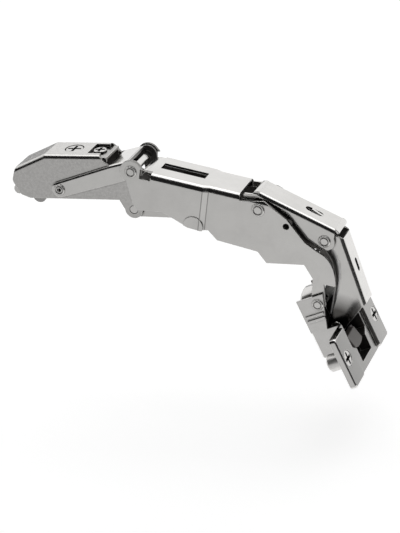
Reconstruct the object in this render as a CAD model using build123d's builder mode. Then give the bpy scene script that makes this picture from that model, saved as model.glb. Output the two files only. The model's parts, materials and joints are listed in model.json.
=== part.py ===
"""Wide-angle concealed hinge, shown open: clip-on arm, crossing folded links and a screw-on cup.

The frame: +X runs along the arm towards the door, Y along the pivots, +Z up from the arm's seat.
The origin lies in the seat's plane, under the side adjusting screw.
"""
import os
from math import cos, radians, sin, tan
from build123d import *

# Pivots, as (x, z) in the hinge's plane
arm_rear_pivot = (-5.5, 5.0)
arm_front_pivot = (29.0, -4.5)
link_pivot = (31.2, 14.8)
crossing_pivot = (88.5, -2.6)
inner_pivot = (116.5, -17.9)

# The cup's own frame: its flange's top at the screws, tilted as the hinge stands open
screw_line = (127.25, -66.8)
cup_tilt = 20.0
cup_pivot_up = 24.2
cup_pivot_depth = 7.4
cup_link_pivot_up = 9.9
cup_link_pivot_depth = 6.4

# Sheet metal: thickness, bends and the half widths of the nested channels
sheet = 1.2
bend = 2.0
rear_bend = 1.4
outer_bend = 3.0
inner_bend = 2.2
cup_link_bend = 2.2
side_gap = 0.2
arm_half = 9.0
rear_half = arm_half + side_gap + sheet
outer_half = rear_half + 0.1 + sheet
outer_front_half = 10.5
inner_half = arm_half - sheet - side_gap
cup_link_half = inner_half - sheet - side_gap

# Pins and rivets
running_gap = 0.04
pin_radius = 2.0
cup_pin_radius = 1.6
head_radius = 2.8
head_height = 0.6
head_groove = 0.3

# Arm
arm_top = 21.1
arm_rear = -29.0
arm_slope_start = -11.6
arm_slope_drop = 6.6
arm_web_front = 15.2
eye_radius = 4.2
screw_radius = 4.2
screw_stem_radius = 2.5
cam_place = 12.6
cam_radius = 3.0
cam_stem_radius = 1.9
notch_half = 5.8
notch_start = 8.6
channel_rear = -24.0
channel_front = 18.5

# Release lever
lever_pivot = (-19.0, 9.0)
lever_pin_radius = 1.2
lever_gap = 0.4
lever_half = arm_half - 2 * sheet - side_gap - lever_gap
lever_thickness = 1.4
lever_round = 2.3
thumb_end = (-28.2, 3.1)

# Outer link
web_start = (38.0, 14.3)
web_end = (80.5, 4.6)
joggle = 27.2
joggle_run = 2.5
slot_length = 21.0
slot_width = 6.0
slot_place = 4.2
lug_radius = 5.2
cup_eye = 3.4
spy_hole = (100.6, -10.2)
spy_hole_radius = 1.5
boss_centre = (57.6, -10.6)
boss_radius = 4.6
boss_height = 0.4
corner_notch_length = 2.6
corner_notch_width = 3.4
corner_notch_depth = 3.4

# Inner link
inner_eye = 4.0
inner_front_eye = 4.6
inner_web_start = (88.9, 4.4)
inner_web_end = (121.8, -12.57)
tab_slot_place = 24.8
tab_slot_length = 8.6
tab_slot_width = 3.6

# Cup link
cup_link_eye = 3.9
cup_web_start = (124.6, -17.4)
cup_web_end = (132.3, -48.4)
cup_slot_place = 14.8
cup_slot_length = 6.4
cup_slot_width = 2.2

# Cup slider
slider_gap = 0.3
slider_high = 3.4
slider_half = 5.7
slider_high_depth = 4.2
slider_slope = 15.0
slider_foot_depth = 6.0
slider_foot = 1.2
slider_foot_half = 8.0
slider_edge = 0.5

# Cup and flange
cup_radius = 17.5
cup_wall = 1.3
cup_depth = 16.5
cup_offset = 12.0
cup_flat_half = outer_front_half + 0.3 + sheet
cup_edge = 1.2
end_wall_top = 4.6
leg_slot_depth = 11.6
leg_slot = 1.8
wing_top = 3.0
flange_plate = 1.4
flange_length = 55.0
flange_low = -13.1
flange_high = 11.8
wing_inner = cup_flat_half + 1.6
wing_edge = 1.1
flange_corner = 1.8
ear_top = 4.0
ear_mouth = 3.2
ear_cut = (12.0, 8.3)
band_places = (17.6, 19.8)
band_width = 1.1
band_height = 0.7
band_length = 9.0
notch_low = -9.6
notch_width_half = 7.2
notch_depth = 7.0
screw_spacing = 45.0
flange_screw_radius = 3.7
flange_stem_radius = 1.8
dowel_radius = 4.0
dowel_length = 6.8
dowel_end = 0.8
dowel_seat = 0.4
dowel_seat_gap = 0.6
dowel_gap = 0.02
head_drop = 0.2
recess_depth = 1.6
recess_width = 1.3
recess_reach = 1.55

up_axis = (-sin(radians(cup_tilt)), 0, cos(radians(cup_tilt)))
out_axis = (cos(radians(cup_tilt)), 0, sin(radians(cup_tilt)))
door = Plane(origin=(screw_line[0], 0, screw_line[1]), x_dir=up_axis, z_dir=out_axis)


def in_cup(up, out):
    """The (x, z) place of a point given along the flange and along the cup's axis."""
    spot = door.from_local_coords(Vector(up, 0, out))
    return (spot.X, spot.Z)


cup_pivot = in_cup(cup_pivot_up, -cup_pivot_depth)
cup_link_pivot = in_cup(cup_link_pivot_up, -cup_link_pivot_depth)
reach = 300.0


def moved(point, direction, distance):
    """An (x, z) point moved some way in a direction."""
    return (point[0] + direction.X * distance, point[1] + direction.Y * distance)


def clear_between(*webs):
    """Sketches all that lies between a channel's plates, but for the strips of its webs."""
    Rectangle(reach, reach)
    for start, end in webs:
        run = (Vector(*end) - Vector(*start)).normalized()
        inward = Vector(run.Y, -run.X)
        Polygon(
            moved(start, inward, sheet),
            moved(end, inward, sheet),
            moved(end, inward, -reach),
            moved(start, inward, -reach),
            align=None,
            mode=Mode.SUBTRACT,
        )


def web_plane(start, end):
    """The plane of a web's outer face, with its origin at the web's start and x along its run."""
    run = (Vector(*end) - Vector(*start)).normalized()
    return Plane(origin=(start[0], 0, start[1]), x_dir=(run.X, 0, run.Y), z_dir=(-run.Y, 0, run.X))


def along_web(edges, start, end, least_y):
    """The outer edges that run along a web's line, to be bent round."""
    run = (Vector(*end) - Vector(*start)).normalized()

    def on_line(vertex):
        arm_x, arm_z = vertex.X - start[0], vertex.Z - start[1]
        return abs(arm_x * run.Y - arm_z * run.X) < 0.01

    def chosen(edge):
        off_middle = abs(edge.center().Y) > least_y
        across = abs(edge.tangent_at(0.5).Y) > 0.9
        return off_middle and not across and all(on_line(v) for v in edge.vertices())

    return edges.filter_by(chosen)


def drill(radius, *centres):
    """Cuts round holes through both plates of the current part."""
    with BuildSketch(Plane.XZ) as holes:
        with Locations(*centres):
            Circle(radius)
    extrude(holes.sketch, amount=reach / 2, both=True, mode=Mode.SUBTRACT)


def turned_pin(centre, radius, half, head, height, bore=0.0):
    """Revolves a pivot pin about its own axis, with a dished head at each end."""
    axis = Axis((centre[0], 0, centre[1]), (0, 1, 0))
    frame = Plane(origin=(centre[0], 0, centre[1]), x_dir=(1, 0, 0), z_dir=(0, 0, 1))
    with BuildSketch(frame) as profile:
        with BuildLine():
            Polyline(
                (bore, 0),
                (bore, half + height),
                (head * 0.54, half + height),
                (head * 0.62, half + height - head_groove),
                (head * 0.68, half + height - head_groove),
                (head * 0.76, half + height),
                (head * 0.88, half + height),
                (head, half + height * 0.4),
                (head, half),
                (radius, half),
                (radius, 0),
                close=True,
            )
        make_face()
        mirror(about=Plane.XZ)
    revolve(profile.sketch, axis=axis)


def plain_pin(centre, radius, half):
    """A straight pin along Y."""
    with BuildSketch(Plane.XZ) as profile:
        with Locations(centre):
            Circle(radius)
    extrude(profile.sketch, amount=half, both=True)
    chamfer(edges().filter_by(GeomType.CIRCLE), radius * 0.12)


def cross_recess(plane, radius):
    """Cuts a cross recess into a screw head whose top lies on the plane."""
    with BuildSketch(plane.offset(-recess_depth)) as cross:
        Rectangle(radius * recess_reach, recess_width)
        Rectangle(recess_width, radius * recess_reach)
        Circle(recess_width * 0.75)
    extrude(cross.sketch, amount=recess_depth, mode=Mode.SUBTRACT)


def finish(piece, label):
    """Names a finished piece and writes it out."""
    piece.part.label = label
    export_step(piece.part, f"parts/{label}.step")


os.makedirs("parts", exist_ok=True)

# Hinge arm: a channel with a sloped rear, open below, with eyes for the two pivots
arm_slope_end = (arm_rear + 1.8, arm_top - arm_slope_drop)
arm_web = [(arm_slope_start, arm_top), (arm_web_front, arm_top)]
with BuildPart() as hinge_arm:
    with BuildSketch(Plane.XZ):
        with BuildLine():
            Polyline(
                arm_slope_end,
                arm_web[0],
                arm_web[1],
                (19.0, 16.6),
                (arm_front_pivot[0] + eye_radius, 4.0),
                (arm_front_pivot[0] + eye_radius, arm_front_pivot[1]),
                (arm_front_pivot[0] - eye_radius, arm_front_pivot[1]),
                (22.6, 0.0),
                (-21.5, 0.0),
                (-25.6, 1.6),
                (arm_rear + 0.2, 7.6),
                (arm_rear, 9.0),
                close=True,
            )
        make_face()
        with Locations(arm_front_pivot):
            Circle(eye_radius)
    extrude(amount=arm_half, both=True)
    top_edges = along_web(edges(), *arm_web, arm_half - 1)
    slope_edges = along_web(edges(), arm_slope_end, arm_web[0], arm_half - 1)
    fillet(top_edges + slope_edges, bend)
    with BuildSketch(Plane.XZ):
        clear_between(arm_web, (arm_slope_end, arm_web[0]))
    extrude(amount=arm_half - sheet, both=True, mode=Mode.SUBTRACT)
    with BuildSketch(Plane.XY.offset(arm_top)):
        Circle(screw_radius + 0.3)
        with Locations((notch_start, 0)):
            Rectangle(arm_web_front, 2 * notch_half, align=(Align.MIN, Align.CENTER))
    extrude(amount=-2 * sheet, mode=Mode.SUBTRACT)
    drill(pin_radius + running_gap, arm_front_pivot, arm_rear_pivot)
finish(hinge_arm, "hinge_arm")

# Adjusting channel: the inner channel that the mounting plate's hooks catch, with round feet
channel_half = arm_half - sheet - side_gap
channel_top = arm_top - sheet - side_gap
foot_radius = 3.4
foot_place = (-17.4, 0.8)
with BuildPart() as adjusting_channel:
    with BuildSketch(Plane.XZ):
        Polygon(
            (channel_rear, 9.0),
            (arm_slope_start - 0.6, channel_top - 0.5),
            (arm_slope_start + 1.0, channel_top),
            (channel_front, channel_top),
            (channel_front, channel_top - 6.0),
            (8.0, 2.0),
            (-21.0, 2.0),
            align=None,
        )
        with Locations(foot_place):
            Circle(foot_radius)
    extrude(amount=channel_half, both=True)
    with BuildSketch(Plane.XZ):
        clear_between(((arm_slope_start + 1.0, channel_top), (channel_front, channel_top)))
    extrude(amount=channel_half - sheet, both=True, mode=Mode.SUBTRACT)
    with BuildSketch(Plane.XY.offset(arm_top)):
        Circle(screw_stem_radius + running_gap)
        with Locations((cam_place, 0)):
            Circle(cam_stem_radius + running_gap)
    extrude(amount=-2 * sheet - 1, mode=Mode.SUBTRACT)
    drill(lever_pin_radius + running_gap, lever_pivot)
    drill(pin_radius + 3.0, arm_rear_pivot)
finish(adjusting_channel, "adjusting_channel")

# Side adjusting screw: its round head lies in the arm's web, its stem goes through the inner channel
with BuildPart() as side_adjusting_screw:
    with BuildSketch(Plane.XY.offset(channel_top + 0.05)):
        Circle(screw_radius)
    extrude(amount=sheet)
    chamfer(edges().group_by(Axis.Z)[-1], 0.3)
    with BuildSketch(Plane.XY.offset(channel_top + 0.05)):
        Circle(screw_stem_radius)
    extrude(amount=-8.0)
    cross_recess(Plane.XY.offset(channel_top + 0.05 + sheet), screw_radius)
finish(side_adjusting_screw, "side_adjusting_screw")

# Depth cam: a low head in the web's notch and a stem under it
with BuildPart() as depth_cam:
    with BuildSketch(Plane.XY.offset(channel_top + 0.05)):
        with Locations((cam_place, 0)):
            Circle(cam_radius)
    extrude(amount=1.0)
    chamfer(edges().group_by(Axis.Z)[-1], 0.25)
    with BuildSketch(Plane.XY.offset(channel_top + 0.05)):
        with Locations((cam_place, 0)):
            Circle(cam_stem_radius)
    extrude(amount=-4.0)
    cross_recess(Plane(origin=(cam_place, 0, channel_top + 1.05)), cam_radius)
finish(depth_cam, "depth_cam")

# Release lever: a folded catch with a round thumb end that looks out under the arm's rear
with BuildPart() as release_lever:
    with BuildSketch(Plane.XZ):
        with Locations(lever_pivot, thumb_end):
            Circle(lever_round)
        make_hull()
    extrude(amount=lever_half, both=True)
    with BuildSketch(Plane.XZ):
        with Locations((lever_pivot[0] - 0.5, lever_pivot[1] - 1.5)):
            Circle(4.4)
    extrude(amount=lever_half - lever_thickness, both=True, mode=Mode.SUBTRACT)
    drill(lever_pin_radius + running_gap, lever_pivot)
finish(release_lever, "release_lever")

with BuildPart() as lever_pin:
    plain_pin(lever_pivot, lever_pin_radius, channel_half)
finish(lever_pin, "lever_pin")


def coil(centre, inner, wire, turns):
    """Revolves a closely wound coil about a pivot, each turn a ridge as high as its wire."""
    axis = Axis((centre[0], 0, centre[1]), (0, 1, 0))
    frame = Plane(origin=(centre[0], 0, centre[1]), x_dir=(1, 0, 0), z_dir=(0, 0, 1))
    start = -wire * turns / 2
    crests = [(inner + wire, start + wire * (turn + 0.5)) for turn in range(turns)]
    valleys = [(inner + wire * 0.7, start + wire * turn) for turn in range(turns + 1)]
    with BuildSketch(frame) as winding:
        Polygon((inner, start), *sorted(crests + valleys, key=lambda p: p[1]), (inner, -start), align=None)
    revolve(winding.sketch, axis=axis)


with BuildPart() as lever_spring:
    coil(lever_pivot, lever_pin_radius + 0.15, 0.8, 5)
finish(lever_spring, "lever_spring")

# Pivot pins of the arm
with BuildPart() as arm_front_pin:
    plain_pin(arm_front_pivot, pin_radius, arm_half)
finish(arm_front_pin, "arm_front_pin")

with BuildPart() as arm_rear_rivet:
    turned_pin(arm_rear_pivot, pin_radius, rear_half + 0.05, head_radius - 0.2, head_height, bore=1.0)
    with BuildSketch(Plane.XZ):
        with Locations(arm_rear_pivot):
            Circle(2 * head_radius)
    extrude(amount=arm_half - sheet - 0.4, both=True, mode=Mode.SUBTRACT)
finish(arm_rear_rivet, "arm_rear_rivet")

# Rear link: a channel over the arm's sides, with a short web between its plates at the front
rear_web = [(20.4, 16.9), (30.2, 19.3)]
rear_eye = 3.7
with BuildPart() as rear_link:
    with BuildSketch(Plane.XZ):
        Polygon(
            (arm_rear_pivot[0] - 0.9, arm_rear_pivot[1] + rear_eye - 0.1),
            rear_web[0],
            rear_web[1],
            (link_pivot[0] + 3.4, link_pivot[1] + 3.0),
            (link_pivot[0] + 1.2, link_pivot[1] - 3.6),
            (arm_rear_pivot[0] + 0.9, arm_rear_pivot[1] - rear_eye + 0.1),
            align=None,
        )
        with Locations(arm_rear_pivot):
            Circle(rear_eye)
        with Locations(link_pivot):
            Circle(lug_radius - 0.5)
    extrude(amount=rear_half, both=True)
    fillet(along_web(edges(), *rear_web, rear_half - 1), rear_bend)
    with BuildSketch(Plane.XZ):
        clear_between(rear_web)
    extrude(amount=rear_half - sheet, both=True, mode=Mode.SUBTRACT)
    drill(pin_radius + running_gap, arm_rear_pivot)
    drill(pin_radius, link_pivot)
finish(rear_link, "rear_link")

with BuildPart() as rear_link_pin:
    plain_pin(link_pivot, pin_radius, rear_half)
finish(rear_link_pin, "rear_link_pin")

# Outer link: slotted cover on top, plates that step inwards at the joggle and end in eyes in the cup
cover_length = (Vector(*web_end) - Vector(*web_start)).length
cover = web_plane(web_start, web_end)
lobe = [(43.7, -4.2), (54.7, -11.2), (60.7, -12.9), (64.0, -13.0)]


def outer_plan(half_rear, half_front):
    """The plan of the outer link's faces on one side of its sheet, stepped at the joggle."""
    Polygon(
        (-reach, -half_rear),
        (joggle, -half_rear),
        (joggle + joggle_run, -half_front),
        (reach, -half_front),
        (reach, half_front),
        (joggle + joggle_run, half_front),
        (joggle, half_rear),
        (-reach, half_rear),
        align=None,
    )


with BuildPart() as outer_link:
    with BuildSketch(Plane.XZ):
        with BuildLine():
            Polyline(
                (113.9, -22.1),
                (108.4, -17.8),
                (100.9, -6.7),
                (91.6, 1.2),
                (web_end[0], 1.6),
                web_end,
                web_start,
                (link_pivot[0] + 4.6, link_pivot[1] + 2.4),
                (link_pivot[0] - 2.8, link_pivot[1] - 4.5),
                (30.4, -2.0),
                (32.4, -3.6),
                *lobe,
                (67.7, -17.7),
                (86.1, -22.6),
                (89.7, -28.0),
                (107.1, -28.3),
                (110.4, -34.9),
                (cup_pivot[0] - cup_eye + 0.1, cup_pivot[1] + 0.7),
                (cup_pivot[0] + cup_eye - 0.2, cup_pivot[1] - 0.6),
                (cup_pivot[0] + cup_eye - 0.2, -37.4),
                (120.5, -38.4),
            )
            Spline((120.5, -38.4), (120.6, -33.8), (118.9, -27.0), (113.9, -22.1))
        make_face()
        with Locations(link_pivot):
            Circle(lug_radius)
        with Locations(cup_pivot):
            Circle(cup_eye)
    extrude(amount=outer_half, both=True)
    with BuildSketch(cover):
        outer_plan(outer_half, outer_front_half)
    extrude(amount=reach, both=True, mode=Mode.INTERSECT)
    fillet(along_web(edges(), web_start, web_end, outer_front_half - 1), outer_bend)
    with BuildSketch(cover.offset(-sheet)):
        outer_plan(outer_half - sheet, outer_front_half - sheet)
    extrude(amount=-reach, mode=Mode.SUBTRACT)
    with BuildSketch(cover):
        outer_plan(outer_half - sheet, outer_front_half - sheet)
        with Locations((cover_length / 2, 0)):
            Rectangle(cover_length, reach, mode=Mode.SUBTRACT)
    extrude(amount=reach, both=True, mode=Mode.SUBTRACT)
    with BuildSketch(cover):
        with Locations((slot_place + slot_length / 2, 0)):
            Rectangle(slot_length, slot_width)
    extrude(amount=2 * sheet, both=True, mode=Mode.SUBTRACT)
    with BuildSketch(cover.offset(-corner_notch_depth)):
        with Locations((0, outer_half), (0, -outer_half)):
            Rectangle(2 * corner_notch_length, 2 * corner_notch_width)
    extrude(amount=corner_notch_depth + sheet, mode=Mode.SUBTRACT)
    for side in (-1, 1):
        with BuildSketch(Plane.XZ.offset(side * (outer_half - sheet / 2))):
            with Locations(boss_centre):
                Circle(boss_radius)
            Polygon(*lobe, (lobe[-1][0], -reach), (lobe[0][0], -reach), align=None, mode=Mode.SUBTRACT)
        extrude(amount=side * (sheet / 2 + boss_height))
    drill(pin_radius + running_gap, crossing_pivot)
    drill(pin_radius, link_pivot)
    drill(cup_pin_radius + running_gap, cup_pivot)
    drill(spy_hole_radius, spy_hole)
finish(outer_link, "outer_link")

with BuildPart() as outer_link_rivets:
    turned_pin(link_pivot, pin_radius, outer_half, head_radius, head_height)
    with BuildSketch(Plane.XZ):
        with Locations(link_pivot):
            Circle(2 * head_radius)
    extrude(amount=outer_half - sheet, both=True, mode=Mode.SUBTRACT)
finish(outer_link_rivets, "outer_link_rivets")

with BuildPart() as crossing_pin:
    turned_pin(crossing_pivot, pin_radius, outer_front_half, head_radius + 0.2, head_height)
finish(crossing_pin, "crossing_pin")

# Inner link: plates inside the outer link, with a web on top of its front half
with BuildPart() as inner_link:
    with BuildSketch(Plane.XZ):
        Polygon(
            (arm_front_pivot[0] + 0.4, arm_front_pivot[1] + inner_eye - 0.1),
            (arm_front_pivot[0] + 0.2, arm_front_pivot[1] - inner_eye + 0.1),
            (46.0, -8.6),
            (84.0, -10.4),
            (104.0, -20.4),
            (inner_pivot[0] - 2.0, inner_pivot[1] - 4.0),
            (inner_pivot[0] + 4.2, inner_pivot[1] + 0.4),
            inner_web_end,
            inner_web_start,
            (86.2, 1.2),
            (46.0, 2.6),
            align=None,
        )
        with Locations(arm_front_pivot):
            Circle(inner_eye)
        with Locations(inner_pivot):
            Circle(inner_front_eye)
    extrude(amount=inner_half, both=True)
    fillet(along_web(edges(), inner_web_start, inner_web_end, inner_half - 1), inner_bend)
    with BuildSketch(Plane.XZ):
        clear_between((inner_web_start, inner_web_end))
    extrude(amount=inner_half - sheet, both=True, mode=Mode.SUBTRACT)
    with BuildSketch(web_plane(inner_web_start, inner_web_end)):
        with Locations((tab_slot_place, 0)):
            SlotOverall(tab_slot_length, tab_slot_width)
    extrude(amount=-2 * sheet, mode=Mode.SUBTRACT)
    drill(pin_radius + running_gap, arm_front_pivot, crossing_pivot)
    drill(pin_radius, inner_pivot)
finish(inner_link, "inner_link")

with BuildPart() as inner_link_pin:
    turned_pin(inner_pivot, pin_radius, inner_half, head_radius, head_height)
finish(inner_link_pin, "inner_link_pin")

# Cup link: a channel with its web outwards, from the inner link down into the cup
with BuildPart() as cup_link:
    with BuildSketch(Plane.XZ):
        with BuildLine():
            Polyline(
                (118.6, -20.6),
                (inner_pivot[0] - 1.0, inner_pivot[1] + 3.7),
                (inner_pivot[0] + 1.2, inner_pivot[1] + 3.7),
                cup_web_start,
                cup_web_end,
                (130.0, -50.4),
                (cup_link_pivot[0] + 3.8, cup_link_pivot[1] - 1.0),
                (cup_link_pivot[0] - 3.4, cup_link_pivot[1] + 2.2),
            )
            Spline(
                (cup_link_pivot[0] - 3.4, cup_link_pivot[1] + 2.2),
                (118.9, -46.6),
                (121.6, -37.0),
                (122.2, -28.6),
                (118.6, -20.6),
            )
        make_face()
        with Locations(inner_pivot, cup_link_pivot):
            Circle(cup_link_eye)
    extrude(amount=cup_link_half, both=True)
    fillet(along_web(edges(), cup_web_start, cup_web_end, cup_link_half - 1), cup_link_bend)
    with BuildSketch(Plane.XZ):
        clear_between((cup_web_start, cup_web_end))
    extrude(amount=cup_link_half - sheet, both=True, mode=Mode.SUBTRACT)
    with BuildSketch(web_plane(cup_web_start, cup_web_end)):
        with Locations((cup_slot_place, 0)):
            SlotOverall(cup_slot_length, cup_slot_width)
    extrude(amount=-2 * sheet, mode=Mode.SUBTRACT)
    drill(pin_radius + running_gap, inner_pivot)
    drill(cup_pin_radius, cup_link_pivot)
finish(cup_link, "cup_link")

with BuildPart() as cup_link_pin:
    turned_pin(cup_link_pivot, cup_pin_radius, cup_link_half, head_radius - 0.4, head_height)
finish(cup_link_pin, "cup_link_pin")

# Hinge cup: a round cup with flat sides, ears for its pivot pin and a flange with raised wings
with BuildPart() as hinge_cup:
    with BuildSketch(door.offset(-cup_depth)):
        with Locations((cup_offset, 0)):
            Circle(cup_radius)
        with Locations((cup_offset, 0)):
            Rectangle(reach, 2 * cup_flat_half, mode=Mode.INTERSECT)
    extrude(amount=cup_depth - wing_top)
    fillet(faces().sort_by(Axis(door.origin, door.z_dir))[0].edges(), cup_edge)
    with BuildSketch(door.offset(-wing_top)):
        with Locations(((flange_low + flange_high) / 2, 0)):
            RectangleRounded(flange_high - flange_low, flange_length, flange_corner)
    extrude(amount=flange_plate)
    with BuildSketch(door.offset(-wing_top)):
        for side in (-1, 1):
            with Locations(((flange_low + flange_high) / 2, side * (flange_length / 2 + wing_inner) / 2)):
                RectangleRounded(flange_high - flange_low, flange_length / 2 - wing_inner, flange_corner)
    extrude(amount=wing_top)
    fillet(faces().sort_by(Axis(door.origin, door.z_dir))[-2:].edges(), wing_edge)
    with BuildSketch(door.offset(-cup_depth)):
        with Locations((cup_offset, cup_flat_half - sheet / 2), (cup_offset, sheet / 2 - cup_flat_half)):
            Rectangle(cup_pivot_up + ear_top - cup_offset, sheet, align=(Align.MIN, Align.CENTER))
    extrude(amount=cup_depth - ear_mouth)
    with BuildSketch(door.offset(-wing_top)):
        with Locations((notch_low - sheet, 0)):
            Rectangle(cup_offset - notch_low, 2 * (notch_width_half + sheet), align=(Align.MIN, Align.CENTER))
    extrude(amount=-(notch_depth + sheet - wing_top))
    with BuildSketch(door.offset(-cup_depth + cup_edge)):
        with Locations(*[(up, 0) for up in band_places]):
            Rectangle(band_width, 2 * (cup_flat_half + band_height))
    extrude(amount=band_length)
    with BuildSketch(door.offset(-cup_depth + cup_wall)):
        with Locations((cup_offset, 0)):
            Circle(cup_radius - cup_wall)
        with Locations((cup_offset, 0)):
            Rectangle(reach, 2 * (cup_flat_half - sheet), mode=Mode.INTERSECT)
    extrude(amount=cup_depth + 5, mode=Mode.SUBTRACT)
    with BuildSketch(door.offset(-end_wall_top)):
        with Locations((cup_pivot_up + 6.0, 0)):
            Rectangle(14.0, 2 * (cup_flat_half - sheet))
    extrude(amount=reach, mode=Mode.SUBTRACT)
    slot_middle = cup_flat_half - sheet - leg_slot / 2
    with BuildSketch(door.offset(-leg_slot_depth)):
        with Locations((cup_pivot_up + 6.0, slot_middle), (cup_pivot_up + 6.0, -slot_middle)):
            Rectangle(14.0, leg_slot)
    extrude(amount=reach, mode=Mode.SUBTRACT)
    with BuildSketch(door.offset(-notch_depth)):
        with Locations((notch_low, 0)):
            Rectangle(cup_offset - notch_low, 2 * notch_width_half, align=(Align.MIN, Align.CENTER))
    extrude(amount=notch_depth + 1, mode=Mode.SUBTRACT)
    with BuildSketch(Plane.XZ):
        Polygon(
            in_cup(ear_cut[0], -ear_cut[1]),
            in_cup(cup_pivot_up + ear_top, -ear_mouth),
            in_cup(cup_pivot_up + ear_top, reach / 4),
            in_cup(ear_cut[0], reach / 4),
            align=None,
        )
    extrude(amount=reach / 2, both=True, mode=Mode.SUBTRACT)
    drill(cup_pin_radius, cup_pivot)
    with BuildSketch(door.offset(0.01)):
        with Locations((0, screw_spacing / 2), (0, -screw_spacing / 2)):
            Circle(flange_screw_radius + running_gap)
    extrude(amount=-wing_top - 0.02, mode=Mode.SUBTRACT)
    with BuildSketch(door.offset(-wing_top)):
        with Locations((0, screw_spacing / 2), (0, -screw_spacing / 2)):
            Circle(dowel_radius + dowel_seat_gap)
    extrude(amount=dowel_seat, mode=Mode.SUBTRACT)
finish(hinge_cup, "hinge_cup")

with BuildPart() as cup_pin:
    turned_pin(cup_pivot, cup_pin_radius, cup_flat_half, head_radius - 0.2, head_height)
finish(cup_pin, "cup_pin")

with BuildPart() as closing_spring:
    coil(cup_pivot, cup_pin_radius + 0.15, 1.4, 7)
finish(closing_spring, "closing_spring")

# Cup slider: a sloped pusher just inside the cup's mouth, on a foot that the cup's wall guides
slider_run = 2 * cup_radius
slider_rise = slider_run * tan(radians(slider_slope))
with BuildPart() as cup_slider:
    with BuildSketch(Plane.XZ):
        Polygon(
            in_cup(slider_high, -slider_high_depth),
            in_cup(slider_high - slider_run, -slider_high_depth + slider_rise),
            in_cup(slider_high - slider_run, -slider_foot_depth),
            in_cup(slider_high, -slider_foot_depth),
            align=None,
        )
    extrude(amount=slider_half, both=True)
    with BuildSketch(door.offset(-slider_foot_depth)):
        with Locations((slider_high, 0)):
            Rectangle(slider_run, 2 * slider_foot_half, align=(Align.MAX, Align.CENTER))
    extrude(amount=-slider_foot)
    with BuildSketch(door.offset(-slider_foot_depth)):
        with Locations((cup_offset, 0)):
            Circle(cup_radius - cup_wall - slider_gap)
    extrude(amount=cup_radius, both=True, mode=Mode.INTERSECT)
    fillet(faces().sort_by(Axis(door.origin, door.z_dir))[-1].edges(), slider_edge)
finish(cup_slider, "cup_slider")

# Flange screws in their dowels, one on each wing
for name, side in (("near", 1), ("far", -1)):
    screw_place = door.from_local_coords(Vector(0, side * screw_spacing / 2, 0))
    head = Plane(origin=screw_place, x_dir=door.x_dir, z_dir=door.z_dir)
    seat = head.offset(-wing_top + dowel_seat)
    with BuildPart() as flange_screw:
        with BuildSketch(seat):
            Circle(flange_screw_radius)
        extrude(amount=wing_top - dowel_seat - head_drop)
        chamfer(faces().sort_by(Axis(door.origin, door.z_dir))[-1].edges(), head_drop)
        with BuildSketch(seat):
            Circle(flange_stem_radius)
        extrude(amount=-dowel_length + 2 * dowel_end)
        cross_recess(head.offset(-head_drop), flange_screw_radius)
    finish(flange_screw, f"{name}_flange_screw")
    with BuildPart() as dowel:
        with BuildSketch(seat):
            Circle(dowel_radius)
        extrude(amount=-dowel_length)
        chamfer(faces().sort_by(Axis(door.origin, door.z_dir))[0].edges(), dowel_end)
        with BuildSketch(seat):
            Circle(flange_stem_radius + dowel_gap)
        extrude(amount=-dowel_length + dowel_end, mode=Mode.SUBTRACT)
    finish(dowel, f"{name}_dowel")
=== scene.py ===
# %% [markdown]
# # A wide-angle concealed hinge, dressed for its picture
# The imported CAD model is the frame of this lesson: it holds every plate, pin and screw at its
# real size. Here the plates get their nickel finish and the small formed details, and a plain
# studio is set up around them.

# %% Load the frame
import json
import math

import bmesh
import bpy
from mathutils import Matrix, Vector
from mathutils.geometry import interpolate_bezier


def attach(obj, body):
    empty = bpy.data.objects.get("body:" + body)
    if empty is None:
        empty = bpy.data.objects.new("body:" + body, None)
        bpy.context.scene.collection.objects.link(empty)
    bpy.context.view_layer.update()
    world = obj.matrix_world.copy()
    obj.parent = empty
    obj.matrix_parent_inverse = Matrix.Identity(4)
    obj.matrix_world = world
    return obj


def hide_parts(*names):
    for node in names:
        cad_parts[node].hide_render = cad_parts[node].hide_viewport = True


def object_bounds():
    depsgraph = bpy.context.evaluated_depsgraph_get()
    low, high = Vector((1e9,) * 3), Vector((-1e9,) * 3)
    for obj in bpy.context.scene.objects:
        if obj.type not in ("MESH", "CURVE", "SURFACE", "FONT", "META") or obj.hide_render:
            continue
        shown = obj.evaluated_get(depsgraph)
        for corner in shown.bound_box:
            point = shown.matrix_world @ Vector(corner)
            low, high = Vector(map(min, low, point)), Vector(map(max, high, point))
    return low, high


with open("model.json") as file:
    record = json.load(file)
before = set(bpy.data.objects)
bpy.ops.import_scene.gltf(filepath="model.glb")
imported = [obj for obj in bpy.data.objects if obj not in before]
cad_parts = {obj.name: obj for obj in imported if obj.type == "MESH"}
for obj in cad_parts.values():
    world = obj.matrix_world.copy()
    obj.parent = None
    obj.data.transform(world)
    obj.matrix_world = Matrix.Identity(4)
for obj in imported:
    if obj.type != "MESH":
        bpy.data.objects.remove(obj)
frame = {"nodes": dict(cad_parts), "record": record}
nodes = frame["nodes"]
cad_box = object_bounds()
scene = bpy.context.scene
scene.view_settings.view_transform = "Standard"
MM = 0.001
print("loaded", len(nodes), "pieces")

# %% [markdown]
# ## Camera
# The picture was taken from the right and a little above, with a long lens. The distance, the
# height and the lens were worked out from pairs of points on the near and far plates. The hinge
# leans a little in the picture, so the camera's own upright leans the other way. Its matrix is
# built from three directions, because a track-to rule would always keep the camera level.

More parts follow.
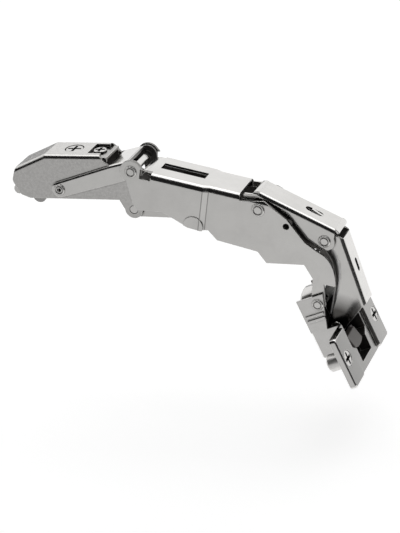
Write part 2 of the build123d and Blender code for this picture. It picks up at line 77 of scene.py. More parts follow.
# %% Camera
camera_place = Vector((357.1, -736.3, 307.5)) * MM
camera_aim = Vector((53.7, 0.0, -35.7)) * MM
camera_up = Vector((0.1219, 0.0, 0.9925))
back = (camera_place - camera_aim).normalized()
right = camera_up.cross(back).normalized()
over = back.cross(right)
lens = bpy.data.cameras.new("picture_camera")
lens.lens = 128.8
lens.sensor_fit = "VERTICAL"
lens.sensor_height = 36.0
lens.clip_start = 0.01
camera = bpy.data.objects.new("picture_camera", lens)
turn = Matrix((right, over, back)).transposed().to_4x4()
camera.matrix_world = Matrix.Translation(camera_place) @ turn
scene.collection.objects.link(camera)
scene.camera = camera
print("camera", round((camera_place - camera_aim).length, 3), "m away")

# %% [markdown]
# ## Node helpers
# Every finish is a small node tree. It could be wired by hand in the shader editor, but then the
# script couldn't repeat it. These helpers keep the trees short: they add a node with its values
# set, do one step of arithmetic, turn a range of values into a mask, and colour a mask.


# %% Node helpers
def add_node(tree, kind, **values):
    node = tree.nodes.new(kind)
    for key, value in values.items():
        if key in node.inputs:
            node.inputs[key].default_value = value
        else:
            setattr(node, key, value)
    return node


def feed(tree, socket, value):
    if isinstance(value, bpy.types.NodeSocket):
        tree.links.new(value, socket)
    else:
        socket.default_value = value


def math_step(tree, operation, first, second=0.0):
    node = add_node(tree, "ShaderNodeMath", operation=operation)
    feed(tree, node.inputs[0], first)
    feed(tree, node.inputs[1], second)
    return node.outputs[0]


def vector_step(tree, operation, first, second=(0.0, 0.0, 0.0)):
    node = add_node(tree, "ShaderNodeVectorMath", operation=operation)
    feed(tree, node.inputs[0], first)
    feed(tree, node.inputs[1], second)
    return node.outputs["Value"] if operation == "DOT_PRODUCT" else node.outputs["Vector"]


def parts_of(tree, vector):
    node = add_node(tree, "ShaderNodeSeparateXYZ")
    tree.links.new(vector, node.inputs["Vector"])
    return node.outputs


def mask(tree, value, low_at, high_at, low=0.0, high=1.0):
    node = add_node(tree, "ShaderNodeMapRange", **{"From Min": low_at, "From Max": high_at, "To Max": high})
    feed(tree, node.inputs["Value"], value)
    feed(tree, node.inputs["To Min"], low)
    return node.outputs["Result"]


def colour_ramp(tree, value, *stops):
    node = add_node(tree, "ShaderNodeValToRGB")
    for point, (place, colour) in zip(node.color_ramp.elements, stops):
        point.position = place
        point.color = (*colour, 1.0)
    tree.links.new(value, node.inputs["Fac"])
    return node.outputs["Color"]


def blend_colour(tree, amount, first, second):
    node = add_node(tree, "ShaderNodeMix", data_type="RGBA")
    colour_a, colour_b = 6, 7
    feed(tree, node.inputs[0], amount)
    feed(tree, node.inputs[colour_a], first)
    feed(tree, node.inputs[colour_b], second)
    return node.outputs[2]


def new_material(name):
    material = bpy.data.materials.new(name)
    material.use_nodes = True
    tree = material.node_tree
    return material, tree, tree.nodes["Principled BSDF"]


def grey(level):
    return (level, level, level, 1.0)


print("node helpers ready")

# %% [markdown]
# ## Sky
# The picture's background is pure white. More light would give that too, but it would wash out
# every plate. So a Light Path node lets the lens and the metal see a white sky, and the same sky
# lights the hinge at half that strength.


# %% Sky
def shown_to_lens_and_metal(tree):
    ray = add_node(tree, "ShaderNodeLightPath")
    seen = math_step(tree, "MAXIMUM", ray.outputs["Is Camera Ray"], ray.outputs["Is Glossy Ray"])
    return math_step(tree, "MAXIMUM", seen, ray.outputs["Is Transmission Ray"])


SKY_LIGHT = 0.5
world = bpy.data.worlds.new("white_room")
scene.world = world
world.use_nodes = True
sky = world.node_tree
background = sky.nodes["Background"]
background.inputs["Color"].default_value = grey(1.0)
level = mask(sky, shown_to_lens_and_metal(sky), 0.0, 1.0, SKY_LIGHT, 1.0)
sky.links.new(level, background.inputs["Strength"])
print("sky lights at", SKY_LIGHT)

# %% [markdown]
# ## Floor
# A pale matt floor lies a little below the hinge and catches its soft shadow. It is one face, cut
# into a grid. A glow that only the lens and the metal see lifts it to the white of the sky, so no
# horizon shows, and the shadow stays.


# %% Floor
def mesh_object(name, shape, finish):
    mesh = bpy.data.meshes.new(name)
    shape.to_mesh(mesh)
    shape.free()
    mesh.materials.append(finish)
    thing = bpy.data.objects.new(name, mesh)
    scene.collection.objects.link(thing)
    return thing


def stage_sheet(name, paint, corners):
    shape = bmesh.new()
    shape.faces.new([shape.verts.new(corner) for corner in corners])
    bmesh.ops.subdivide_edges(shape, edges=shape.edges[:], cuts=7, use_grid_fill=True)
    sheet = mesh_object(name, shape, paint)
    return sheet


def lying(low_x, low_y, high_x, high_y, height):
    corners = (low_x, low_y), (high_x, low_y), (high_x, high_y), (low_x, high_y)
    return [(x, y, height) for x, y in corners]


FLOOR_DROP = 0.03
FLOOR_REACH = 4.0
FLOOR_GLOW = 0.46
floor_level = cad_box[0][2] - FLOOR_DROP
floor_paint, tree, shader = new_material("pale_floor")
shader.inputs["Base Color"].default_value = grey(0.86)
shader.inputs["Roughness"].default_value = 0.9
shader.inputs["Specular IOR Level"].default_value = 0.1
shader.inputs["Emission Color"].default_value = grey(1.0)
glow = mask(tree, shown_to_lens_and_metal(tree), 0.0, 1.0, 0.0, FLOOR_GLOW)
tree.links.new(glow, shader.inputs["Emission Strength"])
stage_sheet("floor", floor_paint, lying(-FLOOR_REACH, -FLOOR_REACH, FLOOR_REACH, FLOOR_REACH, floor_level))
print("floor at", round(floor_level, 4), "m")

# %% [markdown]
# ## Cards and panels
# Bright plated metal has no look of its own: it shows the room. A photographer sets cards around
# such a thing, and so does this scene. A grey card lies in front of the hinge and a dark one on
# its right, a dim panel stands at the back on the left and a dark one on the right, and a bright
# card overhead draws the white line along each bend. Only the metal sees them. Painting such lines
# on the plates would be quicker, but they would stay where they are when the hinge turns.


# %% Cards and panels
def card_paint(name, level, far_level=None, span=None):
    paint, tree, shader = new_material(name)
    shader.inputs["Base Color"].default_value = grey(0.0)
    shader.inputs["Roughness"].default_value = 1.0
    shader.inputs["Specular IOR Level"].default_value = 0.0
    shader.inputs["Emission Color"].default_value = grey(1.0)
    shader.inputs["Emission Strength"].default_value = level
    if span:
        brightest = max(level, far_level)
        shader.inputs["Emission Strength"].default_value = brightest
        place = add_node(tree, "ShaderNodeTexCoord")
        across = mask(tree, parts_of(tree, place.outputs["Object"])["X"], *span)
        near_end, far_end = ((value / brightest,) * 3 for value in (level, far_level))
        fade = colour_ramp(tree, across, (0.0, near_end), (1.0, far_end))
        tree.links.new(fade, shader.inputs["Emission Color"])
    return paint


def standing(foot, rise):
    first, last = (Vector((x, y, floor_level)) for x, y in foot)
    lift = Vector((0.0, 0.0, rise))
    return [first, last, last + lift, first + lift]


def metal_only(sheet):
    sheet.visible_camera = False
    sheet.visible_diffuse = False
    sheet.visible_shadow = False


card_level = floor_level + 1 * MM
overhead = 1.25
front_paint = card_paint("front_card", 0.55, 0.63, (-0.12, 0.07))
right_paint = card_paint("right_card", 0.05, 0.03, (0.27, 0.4))
left_panel_paint = card_paint("left_panel", 0.22, 0.3, (-1.1, -0.25))
right_panel_paint = card_paint("right_panel", 0.03)
bright_paint = card_paint("bright_card", 1.7)
cards = [
    stage_sheet("front_card", front_paint, lying(-1.5, -1.4, 1.5, -0.045, card_level)),
    stage_sheet("right_card", right_paint, lying(0.26, -0.9, 0.6, 0.1, card_level + 1 * MM)),
    stage_sheet("left_panel", left_panel_paint, standing(((-1.1, 0.45), (-0.26, 1.0)), 0.165)),
    stage_sheet("right_panel", right_panel_paint, standing(((0.6, -0.7), (0.6, 0.2)), 0.2)),
    stage_sheet("bright_card", bright_paint, lying(-1.0, -0.4, 1.4, 0.5, overhead)),
]
for card in cards:
    metal_only(card)
print("cards and panels", len(cards))

# %% [markdown]
# ## Curtain
# The dark side of each plate comes from a dark curtain that hangs in front, behind the lens, where
# a studio is dark too. A flat sheet would leave white gaps at its ends, so it is part of a ball
# around the hinge: one point is spun up into an arc, and the arc is spun round the upright.

# %% Curtain
CURTAIN_REACH = 1.5
CURTAIN_LOW, CURTAIN_HIGH = math.radians(-4.0), math.radians(70.0)
CURTAIN_SPREAD = math.radians(150.0)
shape = bmesh.new()
foot_y, foot_z = -CURTAIN_REACH * math.cos(CURTAIN_LOW), CURTAIN_REACH * math.sin(CURTAIN_LOW)
start = shape.verts.new((0.0, foot_y, foot_z))
bmesh.ops.spin(
    shape, geom=[start], cent=(0, 0, 0), axis=(-1, 0, 0), dvec=(0, 0, 0),
    angle=CURTAIN_HIGH - CURTAIN_LOW, steps=16, use_merge=False, use_duplicate=False,
)
first_side = Matrix.Rotation(-CURTAIN_SPREAD / 2, 3, "Z")
bmesh.ops.rotate(shape, verts=shape.verts, cent=(0, 0, 0), matrix=first_side)
bmesh.ops.spin(
    shape, geom=shape.verts[:] + shape.edges[:], cent=(0, 0, 0), axis=(0, 0, 1), dvec=(0, 0, 0),
    angle=CURTAIN_SPREAD, steps=32, use_merge=False, use_duplicate=False,
)
curtain = mesh_object("curtain", shape, card_paint("dark_curtain", 0.012))
metal_only(curtain)
print("curtain faces", len(curtain.data.polygons))

# %% [markdown]
# ## Lamps
# Two wide area lamps light what isn't mirror-like, and the back one also evens out the floor behind
# the hinge. The metal doesn't see them, because the cards already draw its lights and darks.


# %% Lamps
def soft_lamp(name, place, aim, size, watts):
    light = bpy.data.lights.new(name, "AREA")
    light.shape = "RECTANGLE"
    light.size, light.size_y = size
    light.energy = watts
    lamp = bpy.data.objects.new(name, light)
    lamp.location = place
    lamp.rotation_euler = (Vector(aim) - Vector(place)).to_track_quat("-Z", "Y").to_euler()
    lamp.visible_glossy = False
    scene.collection.objects.link(lamp)
    print(name, watts, "W")


soft_lamp("top_lamp", (0.05, 0.25, 1.2), (0.05, 0.0, 0.0), (1.5, 0.9), 3.0)
soft_lamp("back_lamp", (0.1, 1.1, 0.9), (0.1, 0.35, floor_level), (1.6, 0.6), 1.5)

# %% [markdown]
# ## Nickel coat
# The metal parts are steel with a bright nickel coat: smooth, a little warm, with faint drawing
# marks and a coat that is never quite even. One noise moves the tint and the roughness a little, a
# stretched one gives the marks as a fine bump, and a rounded normal softens each cut edge. Painted
# shade darkens the crevices, and a painted highlight lightens the edges. Ambient occlusion finds the
# crevices, and an edge is where the rounded normal leaves the face's own. Both come from the shapes.

# %% Nickel coat
WARM = Vector((1.0, 0.985, 0.96))
# Painted shade colour for crevices, and below it a painted highlight colour for edges.
PAINTED_CREVICE_SHADE = (0.09, 0.085, 0.08, 1.0)
PAINTED_EDGE_HIGHLIGHT = (0.88, 0.87, 0.85, 1.0)
DRAWN_OUT = (0.12, 1.0, 1.0)


def noise(tree, vector, scale, detail, roughness=0.5):
    node = add_node(tree, "ShaderNodeTexNoise", Scale=scale, Detail=detail, Roughness=roughness)
    tree.links.new(vector, node.inputs["Vector"])
    return node.outputs["Fac"]


def eased_normal(tree, shader, grain, strength, depth, edge, samples):
    bump = add_node(tree, "ShaderNodeBump", Strength=strength, Distance=depth)
    rounding = add_node(tree, "ShaderNodeBevel", samples=samples, Radius=edge)
    tree.links.new(grain, bump.inputs["Height"])
    tree.links.new(rounding.outputs["Normal"], bump.inputs["Normal"])
    tree.links.new(bump.outputs["Normal"], shader.inputs["Normal"])
    return rounding.outputs["Normal"]


# Painted highlight: a pale colour along each edge, where the rounded normal turns away from the face.
def painted_edge_highlight(tree, rounded, full_at):
    geometry = add_node(tree, "ShaderNodeNewGeometry")
    turned_by = vector_step(tree, "DOT_PRODUCT", rounded, geometry.outputs["Normal"])
    return mask(tree, turned_by, 0.985, full_at)


def plated_nodes(tree, shader, tones, rough, edge, mark_depth, cloud_scale=90.0, open_at=0.75):
    shader.inputs["Metallic"].default_value = 1.0
    tint, dark_tint = tones
    place = add_node(tree, "ShaderNodeTexCoord")
    cloud = noise(tree, place.outputs["Object"], cloud_scale, 6.0, 0.62)
    colour = colour_ramp(tree, cloud, (0.35, dark_tint), (0.62, tint))
    roughness = mask(tree, cloud, 0.3, 0.7, rough * 0.75, rough * 1.3)
    stretch = add_node(tree, "ShaderNodeMapping", Scale=DRAWN_OUT)
    tree.links.new(place.outputs["Object"], stretch.inputs["Vector"])
    marks = noise(tree, stretch.outputs["Vector"], 2600.0, 3.0)
    rounded = eased_normal(tree, shader, marks, 0.25, mark_depth, edge, 6)
    # Painted shade: ambient occlusion darkens the colour in crevices and between parts.
    crevice = add_node(tree, "ShaderNodeAmbientOcclusion", samples=8, Distance=1.6 * MM)
    crevice_shade = mask(tree, crevice.outputs["AO"], open_at, 0.2)
    return place, colour, roughness, crevice_shade, rounded


# Lays each mask's colour over the coat: real dullness and roughness, and painted shade and highlights.
def join_up(tree, shader, colour, roughness, worn_and_shaded):
    for amount, tone, coarse in worn_and_shaded:
        colour = blend_colour(tree, amount, colour, tone)
        if coarse is not None:
            roughness = mask(tree, amount, 0.0, 1.0, roughness, coarse)
    tree.links.new(colour, shader.inputs["Base Color"])
    tree.links.new(roughness, shader.inputs["Roughness"])


print("nickel coat ready")

# %% [markdown]
# ## Channel finish
# Each link and the arm is a channel, folded from sheet: two plates and the web between them.
# The coat is dull inside, where painted shade darkens it, and the sheared edges are rough and darkened
# with painted shade. A face's place and direction tell which is which. A plate's face looks along y,
# and a web's face looks at right angles to the line between the web's two ends, which are given as x
# and z in millimetres. A separate material for each face would also do, but the frame's meshes stay as
# they are. Painted shade may draw dark lines across a web's creases, and a dark spot round a pivot or hole.

# %% Channel finish
# Painted shade colours: faces inside a channel, sheared edges (which are also rough), and dark spots.
PAINTED_INSIDE_SHADE = (0.13, 0.125, 0.12, 1.0)
SHEARED_AND_SHADED = (0.24, 0.235, 0.225, 1.0)
PAINTED_DEEP_SHADE = (0.10, 0.095, 0.09, 1.0)


def in_plane(spot):
    x, z = spot
    return Vector((x, 0.0, z)) * MM


def web_faces(tree, spot, facing, ends):
    start, end = (in_plane(point) for point in ends)
    run = end - start
    length = run.length
    run.normalize()
    outer = Vector((-run.z, 0.0, run.x))
    along = vector_step(tree, "DOT_PRODUCT", vector_step(tree, "SUBTRACT", spot, start), run)
    before_end = mask(tree, along, length + 0.3 * MM, length + 0.2 * MM)
    on_run = math_step(tree, "MULTIPLY", mask(tree, along, -0.3 * MM, -0.2 * MM), before_end)
    web_facing = math_step(tree, "MULTIPLY", vector_step(tree, "DOT_PRODUCT", facing, outer), on_run)
    return along, web_facing


def channel_finish(name, tone, webs, rough=0.16, mottle=0.05, cloud_scale=90.0, shaded_creases=(), shaded_spot=None):
    material, tree, shader = new_material(name)
    tones = WARM * tone, WARM * (tone - mottle)
    place, colour, roughness, crevice_shade, rounded = plated_nodes(
        tree, shader, tones, rough, 0.32 * MM, 0.004 * MM, cloud_scale, open_at=0.88
    )
    spot, facing = place.outputs["Object"], place.outputs["Normal"]
    side = math_step(tree, "SIGN", parts_of(tree, spot)["Y"])
    outward = math_step(tree, "MULTIPLY", parts_of(tree, facing)["Y"], side)
    inward = math_step(tree, "MULTIPLY", outward, -1.0)
    plate_like = math_step(tree, "ABSOLUTE", outward)
    line = 0.0
    for ends in webs:
        along, web_facing = web_faces(tree, spot, facing, ends)
        inward = math_step(tree, "MAXIMUM", inward, math_step(tree, "MULTIPLY", web_facing, -1.0))
        plate_like = math_step(tree, "MAXIMUM", plate_like, math_step(tree, "ABSOLUTE", web_facing))
        for crease in shaded_creases:
            off_line = math_step(tree, "ABSOLUTE", math_step(tree, "SUBTRACT", along, crease * MM))
            line = math_step(tree, "MAXIMUM", line, mask(tree, off_line, 0.3 * MM, 0.1 * MM))
    worn_and_shaded = [
        # Sheared edges: rougher, and darkened with painted shade.
        (mask(tree, plate_like, 0.8, 0.6), SHEARED_AND_SHADED, 0.38),
        # Painted shade on faces that look into the channel.
        (mask(tree, inward, 0.45, 0.6), PAINTED_INSIDE_SHADE, 0.4),
        (painted_edge_highlight(tree, rounded, 0.88), PAINTED_EDGE_HIGHLIGHT, 0.3),
        (crevice_shade, PAINTED_CREVICE_SHADE, None),
    ]
    # Painted shade: thin dark lines across the plates at the creases.
    if shaded_creases:
        crease_shade_on_plate = math_step(tree, "MULTIPLY", line, mask(tree, outward, 0.5, 0.9))
        worn_and_shaded.append((math_step(tree, "MULTIPLY", crease_shade_on_plate, 0.6), PAINTED_CREVICE_SHADE, None))
    # Painted shade: a dark spot round a pivot or hole.
    if shaded_spot:
        pivot, reach, core = shaded_spot
        from_pivot = vector_step(tree, "SUBTRACT", spot, in_plane(pivot))
        flat = vector_step(tree, "MULTIPLY", from_pivot, (1.0, 0.0, 1.0))
        near = math_step(tree, "SQRT", vector_step(tree, "DOT_PRODUCT", flat, flat))
        worn_and_shaded.append((mask(tree, near, reach * MM, core * MM), PAINTED_DEEP_SHADE, None))
    join_up(tree, shader, colour, roughness, worn_and_shaded)
    return material


ARM_SLOPE = (-27.2, 14.5), (-11.6, 21.1)
ARM_WEB = (-11.6, 21.1), (15.2, 21.1)
CHANNEL_WEB = (-24.0, 20.0), (18.5, 20.0)
REAR_WEB = (20.4, 16.9), (30.2, 19.3)
COVER = (38.0, 14.3), (80.5, 4.6)
INNER_WEB = (88.9, 4.4), (121.8, -12.57)
CUP_LINK_WEB = (124.6, -17.4), (132.3, -48.4)
SPY_HOLE = (101.4, -9.2)
CUP_LINK_PIVOT = (117.85, -59.69)
arm_finish = channel_finish(
    "arm_nickel", 0.66, [ARM_SLOPE, ARM_WEB], rough=0.2, mottle=0.10, cloud_scale=800.0
)
channel_in_arm = channel_finish("adjusting_channel_nickel", 0.45, [CHANNEL_WEB])
rear_finish = channel_finish("rear_link_nickel", 0.78, [REAR_WEB])
outer_finish = channel_finish("outer_link_nickel", 0.75, [COVER], shaded_creases=(27.2, 29.7))
inner_finish = channel_finish("inner_link_nickel", 0.72, [INNER_WEB], shaded_spot=(SPY_HOLE, 3.0, 1.6))
cup_link_finish = channel_finish(
    "cup_link_nickel", 0.74, [CUP_LINK_WEB], shaded_spot=(CUP_LINK_PIVOT, 17.0, 8.0)
)
cover_length = (in_plane(COVER[1]) - in_plane(COVER[0])).length / MM
print("six channel finishes; the cover is", round(cover_length, 1), "mm long")

# %% [markdown]
# ## Turned finish
# Pins, rivets and screws are turned or headed, springs are drawn wire, and the dowels are cast. They
# have no inside, so the coat alone is enough, with its own tone, roughness and edge. Painted shade
# darkens the bottom of a screw's recess, which is told by the depth below the top of its head.

# %% Turned finish
# Painted shade colour for the bottom of a screw's recess.
PAINTED_RECESS_SHADE = (0.05, 0.05, 0.05, 1.0)


def turned_finish(name, tone, rough, edge, mottle=0.05, mark_depth=0.003 * MM, recess_shade=None, open_at=0.75):
    material, tree, shader = new_material(name)
    tones = WARM * tone, WARM * (tone - mottle)
    place, colour, roughness, crevice_shade, _ = plated_nodes(
        tree, shader, tones, rough, edge, mark_depth, open_at=open_at
    )
    worn_and_shaded = [(crevice_shade, PAINTED_CREVICE_SHADE, None)]
    # Painted shade: darker deeper in the recess.
    if recess_shade:
        top, axis, depth = recess_shade
        from_top = vector_step(tree, "SUBTRACT", Vector(top) * MM, place.outputs["Object"])
        below = vector_step(tree, "DOT_PRODUCT", from_top, axis)
        worn_and_shaded.append((mask(tree, below, depth * 0.3 * MM, depth * MM), PAINTED_RECESS_SHADE, 0.4))
    join_up(tree, shader, colour, roughness, worn_and_shaded)
    return material


ARM_SCREW_TOP = (0.0, 0.0, 20.6)
UPWARDS = (0.0, 0.0, 1.0)
pin_finish = turned_finish("pin_nickel", 0.78, 0.18, 0.4 * MM, open_at=0.97)
spring_finish = turned_finish("spring_steel", 0.40, 0.3, 0.1 * MM, mottle=0.08)
dowel_finish = turned_finish("cast_zinc", 0.80, 0.36, 0.2 * MM, mottle=0.08, mark_depth=0.012 * MM)
lever_finish = turned_finish("lever_nickel", 0.74, 0.22, 0.2 * MM)
formed_finish = turned_finish("formed_nickel", 0.75, 0.16, 0.1 * MM)
arm_screw_finish = turned_finish(
    "arm_screw_nickel", 0.62, 0.2, 0.15 * MM, recess_shade=(ARM_SCREW_TOP, UPWARDS, 0.6)
)
print("six turned finishes")

# %% [markdown]
# ## Cup
# The cup is pressed from thicker sheet and leans by 20 degrees with its flange. Its inside is told
# from its outside by the direction from the middle of the cup: a face that looks back towards the
# middle is inside, where painted shade darkens it. The top of the flange is brushed, so it is duller
# than the wall, and painted shade makes it darker towards its near end. The heads of the flange screws
# lie on the same lean, so their finish is made here too.

# %% Cup
CUP_TILT = math.radians(20.0)
CUP_UP = Vector((-math.sin(CUP_TILT), 0.0, math.cos(CUP_TILT)))
CUP_OUT = Vector((math.cos(CUP_TILT), 0.0, math.sin(CUP_TILT)))
SCREW_LINE = Vector((127.25, 0.0, -66.8))
FLANGE_HALF = 24.0 * MM


def in_cup(up, out):
    return (SCREW_LINE + CUP_UP * up + CUP_OUT * out) * MM


cup_finish, tree, shader = new_material("cup_nickel")
cup_tones = Vector((0.72, 0.71, 0.695)), Vector((0.66, 0.65, 0.635))
place, colour, roughness, crevice_shade, rounded = plated_nodes(
    tree, shader, cup_tones, 0.17, 0.3 * MM, 0.004 * MM, open_at=0.93
)
spot, facing = place.outputs["Object"], place.outputs["Normal"]
# Painted shade on the faces inside the cup.
from_middle = vector_step(tree, "NORMALIZE", vector_step(tree, "SUBTRACT", spot, in_cup(12.0, -7.0)))
inside = mask(tree, vector_step(tree, "DOT_PRODUCT", from_middle, facing), 0.0, -0.25)
from_flange = vector_step(tree, "SUBTRACT", spot, in_cup(0.0, -2.0))
above_flange = mask(tree, vector_step(tree, "DOT_PRODUCT", from_flange, CUP_OUT), 0.0, 0.1 * MM)
looks_out = mask(tree, vector_step(tree, "DOT_PRODUCT", facing, CUP_OUT), 0.93, 0.99)
on_top = math_step(tree, "MULTIPLY", looks_out, above_flange)
# Painted shade: the flange top gets darker towards its near end; its dull tone is the brushing.
near_to_far = mask(tree, parts_of(tree, spot)["Y"], -FLANGE_HALF, FLANGE_HALF)
brushed_and_shaded = colour_ramp(tree, near_to_far, (0.0, (0.28, 0.276, 0.268)), (1.0, (0.38, 0.374, 0.365)))
worn_and_shaded = [
    (on_top, brushed_and_shaded, 0.24),
    (inside, PAINTED_DEEP_SHADE, 0.4),
    (crevice_shade, PAINTED_CREVICE_SHADE, None),
    (painted_edge_highlight(tree, rounded, 0.88), PAINTED_EDGE_HIGHLIGHT, 0.3),
]
join_up(tree, shader, colour, roughness, worn_and_shaded)
flange_screw_top = SCREW_LINE + CUP_OUT * -0.25
flange_screw_finish = turned_finish(
    "flange_screw_nickel", 0.62, 0.2, 0.15 * MM, recess_shade=(flange_screw_top, CUP_OUT, 0.5)
)
print("cup finish and flange screw finish")

# %% [markdown]
# ## Slider plastic
# The sprung pusher in the cup's mouth is moulded in a dark grey, with a fine matt grain. A painted
# highlight lightens its edges. One fine noise gives both the grain's shade and its bump, so that light
# and dark lie where the surface is high and low.

# %% Slider plastic
slider_plastic, tree, shader = new_material("slider_plastic")
place = add_node(tree, "ShaderNodeTexCoord")
grain = noise(tree, place.outputs["Object"], 3000.0, 4.0)
shade = colour_ramp(tree, grain, (0.3, (0.11, 0.10, 0.095)), (0.7, (0.15, 0.14, 0.13)))
rounded = eased_normal(tree, shader, grain, 0.3, 0.01 * MM, 0.5 * MM, 8)
# Painted highlight along the pusher's edges.
edge_highlight = painted_edge_highlight(tree, rounded, 0.9)
shader.inputs["Roughness"].default_value = 0.4
tree.links.new(blend_colour(tree, edge_highlight, shade, grey(0.55)), shader.inputs["Base Color"])
print("slider plastic nodes", len(tree.nodes))

# %% [markdown]
# ## Handing out the finishes
# Each piece of the frame already has a plain material from the CAD model. The parts that show most
# have a finish of their own, by name, and the rest share one with all pieces of the same slot. Only
# the material changes here: the meshes stay as they were packed.

# %% Hand out the finishes
finish_of_slot = {
    "plated_sheet": channel_in_arm,
    "plated_pin": pin_finish,
    "plated_screw": arm_screw_finish,
    "spring_steel": spring_finish,
    "cast_dowel": dowel_finish,
    "dark_plastic": slider_plastic,
}
finish_of_node = {
    "hinge_arm": arm_finish,
    "rear_link": rear_finish,
    "outer_link": outer_finish,
    "inner_link": inner_finish,
    "cup_link": cup_link_finish,
    "hinge_cup": cup_finish,
    "release_lever": lever_finish,
    "near_flange_screw": flange_screw_finish,
    "far_flange_screw": flange_screw_finish,
}
for subpart in frame["record"]["subparts"]:
    name = subpart["node"]
    piece = nodes[name]
    piece.data.materials.clear()
    piece.data.materials.append(finish_of_node.get(name, finish_of_slot[subpart["material_slot"]]))
print("finished", len(nodes), "pieces")

# %% [markdown]
# ## Formed details
# Some small forms are pressed into the sheet and too fine for the solids. Each is a strip that
# follows a line in the hinge's middle plane: the cover's end rolls down towards the pin, the inner
# link's web has a heel at one end and a lip at the other, a tongue is lanced out of its slot, and a
# leaf spring runs down inside the cup link, from one pivot to the other. A curve with a bevel would
# give a round rod, so the two long edges of the strip's profile are bridged, pulled across to the
# strip's width and eased. Lines on a web are given as the way along it and the height over it.


# %% Formed strips
def finished_piece(name, shape, finish, body):
    piece = mesh_object(name, shape, finish)
    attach(piece, body)
    return piece


def pull_across(shape, faces, width):
    pulled = bmesh.ops.extrude_face_region(shape, geom=faces)
    moved = [item for item in pulled["geom"] if isinstance(item, bmesh.types.BMVert)]
    bmesh.ops.translate(shape, verts=moved, vec=(0.0, width * MM, 0.0))
    bmesh.ops.recalc_face_normals(shape, faces=shape.faces[:])


def smooth_line(points, steps=6):
    points = [Vector((x, 0.0, z)) for x, z in points]
    line = []
    for place in range(len(points) - 1):
        first, last = points[place], points[place + 1]
        before = points[max(place - 1, 0)]
        after = points[min(place + 2, len(points) - 1)]
        handle = first + (last - before) / 6
        far_handle = last - (after - first) / 6
        line += interpolate_bezier(first, handle, far_handle, last, steps)[:-1]
    return line + [points[-1]]


def formed_strip(name, points, thickness, half_width, finish, body):
    line = smooth_line(points)
    upper, lower = [], []
    for place, spot in enumerate(line):
        run = line[min(place + 1, len(line) - 1)] - line[max(place - 1, 0)]
        outer = Vector((-run.z, 0.0, run.x)).normalized() * thickness / 2
        upper.append(spot + outer)
        lower.append(spot - outer)
    shape = bmesh.new()
    edges = []
    for row in (upper, lower):
        verts = [shape.verts.new(Vector((spot.x, -half_width, spot.z)) * MM) for spot in row]
        edges += [shape.edges.new(pair) for pair in zip(verts, verts[1:])]
    profile = bmesh.ops.bridge_loops(shape, edges=edges)["faces"]
    pull_across(shape, profile, 2 * half_width)
    sharp = [edge for edge in shape.edges if len(edge.link_faces) == 2 and edge.calc_face_angle() > 1.0]
    bmesh.ops.bevel(
        shape, geom=sharp, offset=thickness * 0.22 * MM, segments=3, profile=0.5, affect="EDGES", material=-1
    )
    for face in shape.faces:
        face.smooth = True
    finished_piece(name, shape, finish, body)
    print(name, len(line), "points long")


def on_web(ends, *places):
    start, end = (Vector(point) for point in ends)
    run = (end - start).normalized()
    outer = Vector((-run.y, run.x))
    return [tuple(start + run * along + outer * height) for along, height in places]


SHEET = 1.15
cover_roll = on_web(COVER, (0.4, -0.62), (-0.6, -0.72), (-1.8, -1.2), (-2.7, -2.2), (-3.1, -3.4))
web_lip = on_web(INNER_WEB, (36.7, -0.6), (37.4, -0.62), (38.3, -0.95), (38.9, -1.6))
web_heel = on_web(INNER_WEB, (0.3, -0.62), (-0.8, -0.8), (-1.8, -1.6), (-2.3, -2.8), (-2.6, -4.2))
tongue = on_web(INNER_WEB, (29.6, -0.5), (28.4, -0.4), (26.6, -0.2), (25.0, 0.1), (23.4, 0.3))
leaf = [
    (110.6, -26.6), (111.7, -23.4), (113.7, -21.8), (116.2, -24.0), (118.4, -28.6),
    (119.0, -34.0), (118.6, -40.0), (117.0, -47.0), (114.8, -54.6),
]
formed_strip("cover_roll", cover_roll, SHEET, 8.2, formed_finish, "outer_link")
formed_strip("web_lip", web_lip, SHEET, 6.6, formed_finish, "inner_link")
formed_strip("web_heel", web_heel, SHEET, 6.6, formed_finish, "inner_link")
formed_strip("lanced_tongue", tongue, 0.8, 0.75, formed_finish, "inner_link")
formed_strip("link_spring", leaf, 0.8, 4.6, spring_finish, "cup_link")

# %% [markdown]
# ## Heel ears
# Behind the crossing pivot, each plate of the inner link runs on under the cover's end in a short
# ear. An ear could be cut from a block, but one flat face, pulled out to the sheet's thickness with
# its edges eased, is the way a press makes it.


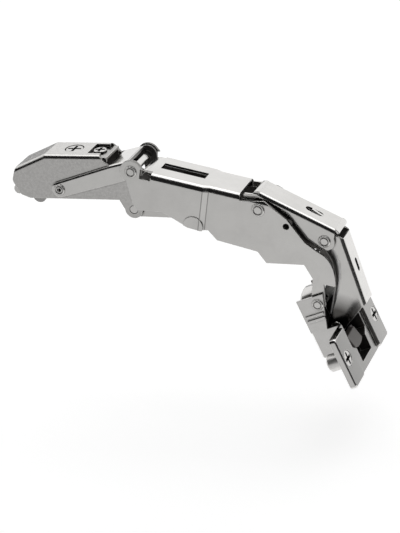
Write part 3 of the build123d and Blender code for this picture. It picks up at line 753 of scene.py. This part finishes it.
# %% Heel ears
def side_plate(name, outline, low_y, thickness, finish, body):
    shape = bmesh.new()
    face = shape.faces.new([shape.verts.new(Vector((x, low_y, z)) * MM) for x, z in outline])
    pull_across(shape, [face], thickness)
    bmesh.ops.bevel(
        shape, geom=shape.edges[:], offset=0.2 * MM, segments=2, profile=0.5, affect="EDGES", material=-1
    )
    finished_piece(name, shape, finish, body)
    print(name, "at y", low_y, "mm")


EAR_THICKNESS = 1.1
heel_ear = [(83.0, 0.0), (81.0, 1.2), (81.3, 3.6), (82.0, 4.0), (88.0, 3.3), (90.0, 2.2), (90.0, 0.4)]
for name, low_y in (("near_heel_ear", -7.55), ("far_heel_ear", 6.45)):
    side_plate(name, heel_ear, low_y, EAR_THICKNESS, formed_finish, "inner_link")

# %% [markdown]
# ## Springs
# The two coil springs are plain ridged sleeves in the CAD model. Here each is wound from round wire:
# a small circle is spun about its pivot and moved along it by one wire per turn. A Screw modifier
# would do the same, but a spin leaves a plain mesh whose two open ends can be filled at once.


# %% Coil springs
STEPS_PER_TURN = 28


def wound_spring(name, node, centre, inner, wire, turns, body):
    radius = inner + wire / 2
    start_y = -wire * (turns - 1) / 2
    pivot = in_plane(centre)
    shape = bmesh.new()
    place = Matrix.Translation(pivot + Vector((radius, start_y, 0.0)) * MM)
    ring = bmesh.ops.create_circle(shape, segments=10, radius=wire * 0.48 * MM, matrix=place)
    edges = list({edge for vert in ring["verts"] for edge in vert.link_edges})
    bmesh.ops.spin(
        shape, geom=ring["verts"] + edges, cent=pivot, axis=(0, 1, 0),
        dvec=(0, wire * MM / STEPS_PER_TURN, 0), angle=math.tau * (turns - 1),
        steps=STEPS_PER_TURN * (turns - 1), use_merge=False, use_duplicate=False,
    )
    bmesh.ops.holes_fill(shape, edges=[edge for edge in shape.edges if edge.is_boundary], sides=0)
    bmesh.ops.recalc_face_normals(shape, faces=shape.faces[:])
    for face in shape.faces:
        face.smooth = True
    piece = finished_piece(name, shape, spring_finish, body)
    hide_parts(node)
    print(name, turns, "turns")


CUP_PIVOT = (112.019, -46.590)
LEVER_PIVOT = (-19.0, 9.0)
wound_spring("closing_coil", "closing_spring", CUP_PIVOT, 1.75, 1.4, 7, "cup")
wound_spring("lever_coil", "lever_spring", LEVER_PIVOT, 1.35, 0.8, 5, "arm")
